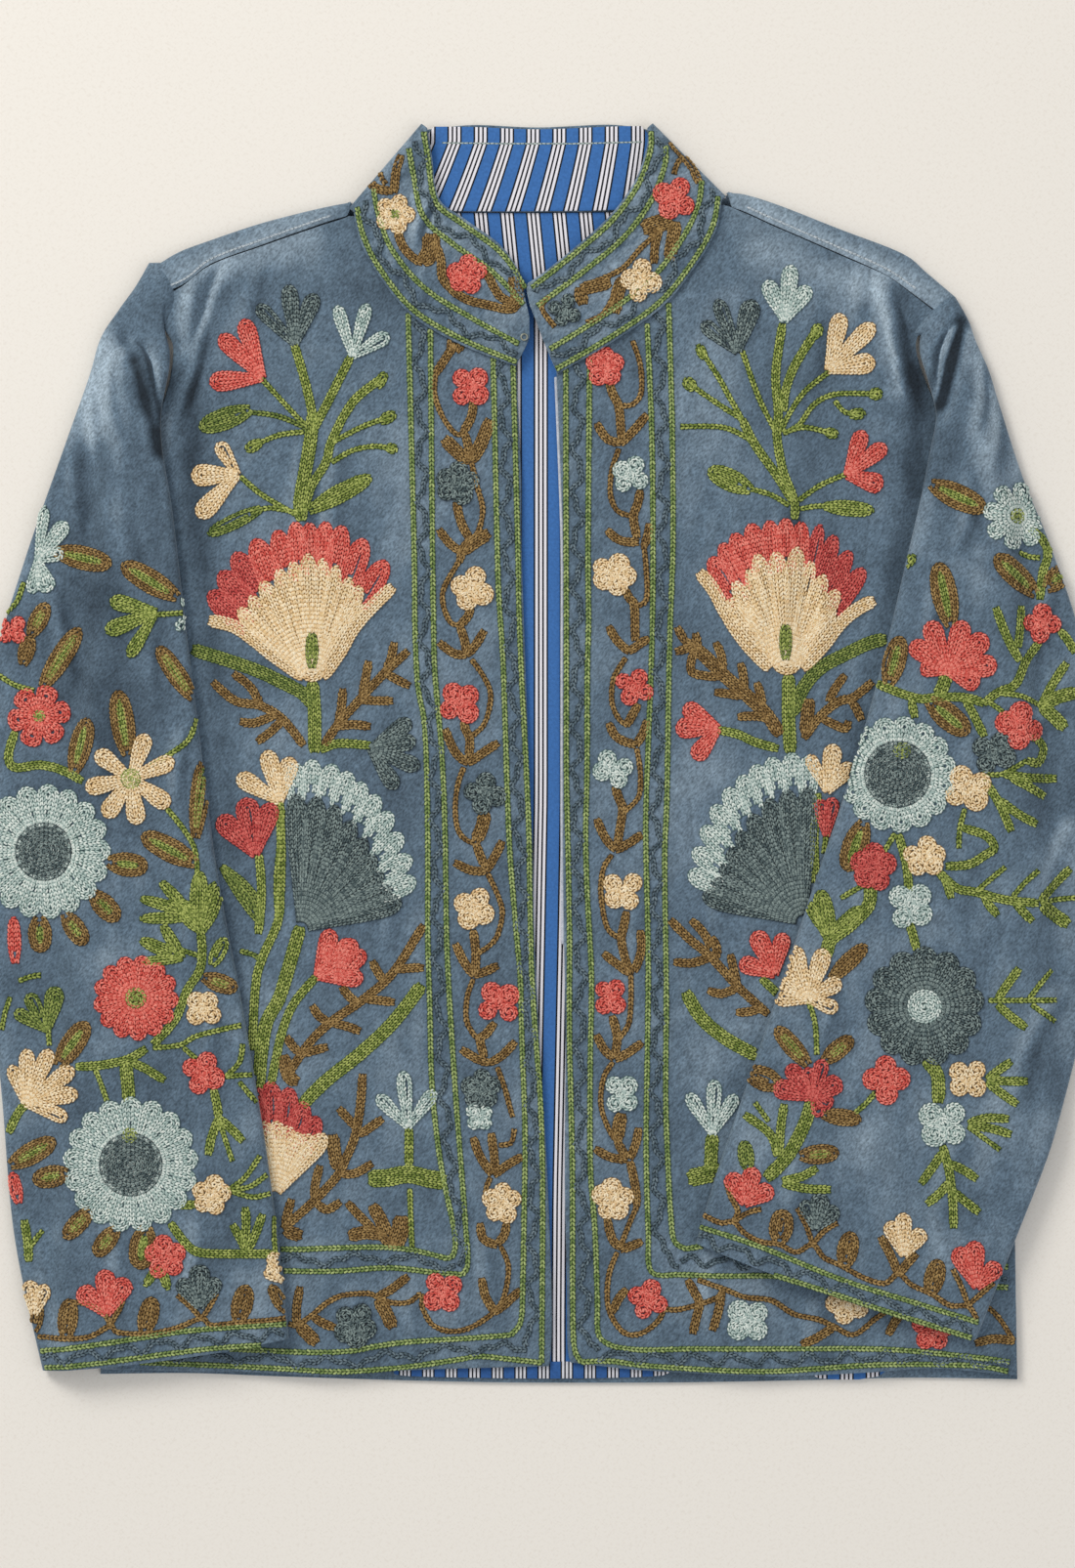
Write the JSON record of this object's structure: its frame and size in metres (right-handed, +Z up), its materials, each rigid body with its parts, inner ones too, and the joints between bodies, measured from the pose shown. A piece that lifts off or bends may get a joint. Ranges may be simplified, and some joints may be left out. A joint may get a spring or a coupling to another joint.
{
  "type": "velvet jacket, laid flat",
  "caption": "Short velvet jacket with a stand collar and long sleeves, lying flat on its back with its fronts nearly meeting and both sleeves laid over them.",
  "frame": {"origin": "middle of the bottom of the bounding box, on the surface that the jacket lies on", "axes": "+X towards the wearer's left sleeve, +Y from the hem to the collar, +Z up from the surface, towards the outside of the fronts"},
  "size_m": [0.655, 0.737, 0.0165],
  "materials": {
    "velvet": "cotton velvet, short dense pile with a soft sheen",
    "lining": "plain woven cotton, blue with white and black stripes",
    "thread": "wool and cotton embroidery thread in chain stitch"
  },
  "bodies": {
    "root": {"back": "velvet", "back_lining": "lining", "front_right": "velvet", "front_left": "velvet", "sleeve_right": "velvet", "sleeve_left": "velvet", "collar": "velvet", "collar_lining": "lining", "neck_loop": "thread"}
  },
  "joints": []
}
